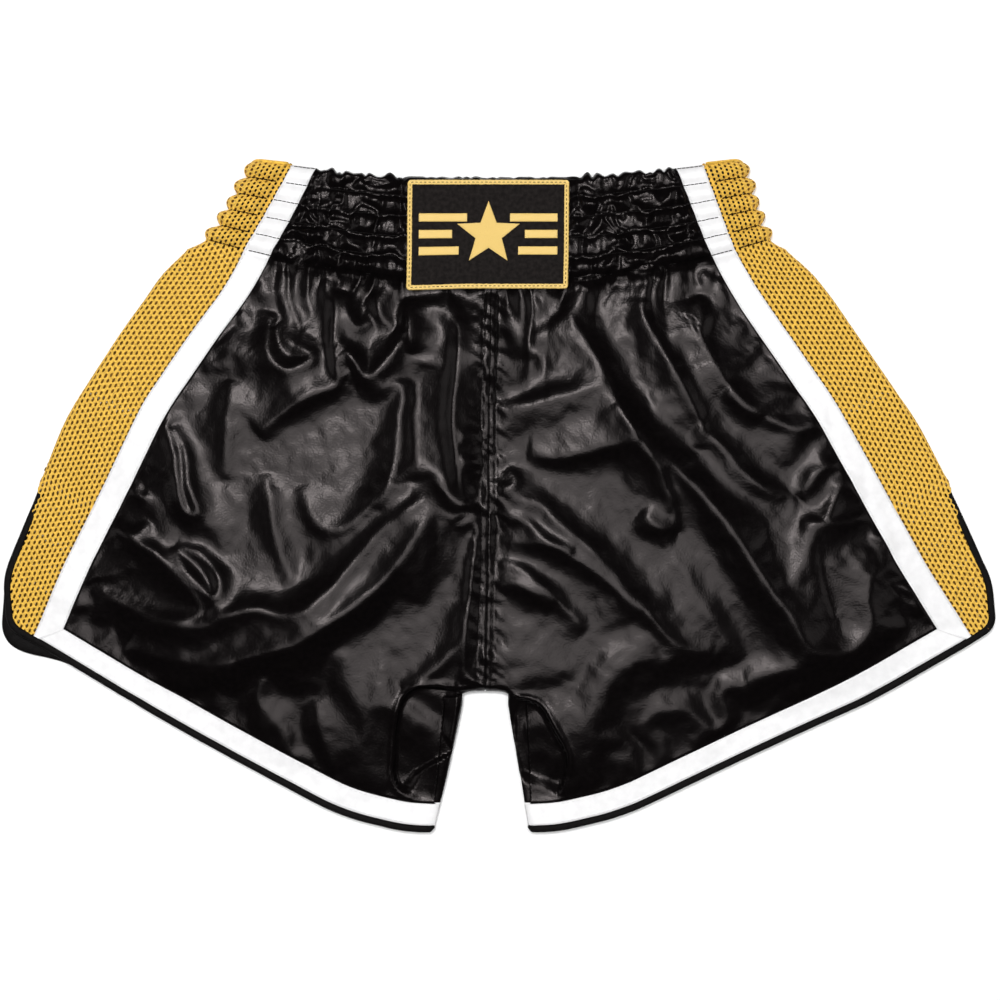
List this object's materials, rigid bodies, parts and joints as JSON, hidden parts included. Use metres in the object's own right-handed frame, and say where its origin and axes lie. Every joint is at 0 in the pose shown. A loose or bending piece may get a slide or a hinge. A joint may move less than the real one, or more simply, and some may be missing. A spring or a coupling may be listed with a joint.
{
  "type": "boxing shorts",
  "caption": "Glossy black boxing shorts with gold mesh sides, white ribbon stripes, bound slit hems, a ruched elastic waistband and a front patch, lying flat.",
  "frame": {"origin": "middle of the garment's box in plan, on the surface it lies on", "axes": "+X across the garment towards the right of its front as drawn, +Y up towards the waistband, +Z out of the front face, away from the surface it lies on"},
  "size_m": [0.594, 0.4028, 0.0197],
  "materials": {
    "black_satin": "glossy woven satin",
    "white_satin": "glossy woven satin ribbon",
    "gold_mesh": "soft knitted air mesh with oval holes",
    "black_tape": "smooth folded bias tape",
    "elastic": "braided elastic tape",
    "black_facing": "plain woven facing",
    "patch_felt": "dense matt twill",
    "gold_thread": "satin-stitch embroidery thread"
  },
  "bodies": {
    "root": {"left_front_panel": "black_satin", "left_front_side_ribbon": "white_satin", "left_front_hem_ribbon": "white_satin", "left_back_panel": "black_satin", "left_back_side_ribbon": "white_satin", "left_back_hem_ribbon": "white_satin", "left_side_mesh": "gold_mesh", "left_leg_binding": "black_tape", "right_front_panel": "black_satin", "right_front_side_ribbon": "white_satin", "right_front_hem_ribbon": "white_satin", "right_back_panel": "black_satin", "right_back_side_ribbon": "white_satin", "right_back_hem_ribbon": "white_satin", "right_side_mesh": "gold_mesh", "right_leg_binding": "black_tape", "waistband_facing": "black_facing", "waist_elastic_1": "elastic", "waist_elastic_2": "elastic", "waist_elastic_3": "elastic", "waist_elastic_4": "elastic", "waist_elastic_5": "elastic", "patch_cloth": "patch_felt", "patch_border": "gold_thread", "patch_star": "gold_thread", "patch_left_bar_1": "gold_thread", "patch_left_bar_2": "gold_thread", "patch_left_bar_3": "gold_thread", "patch_right_bar_1": "gold_thread", "patch_right_bar_2": "gold_thread", "patch_right_bar_3": "gold_thread"}
  },
  "joints": []
}
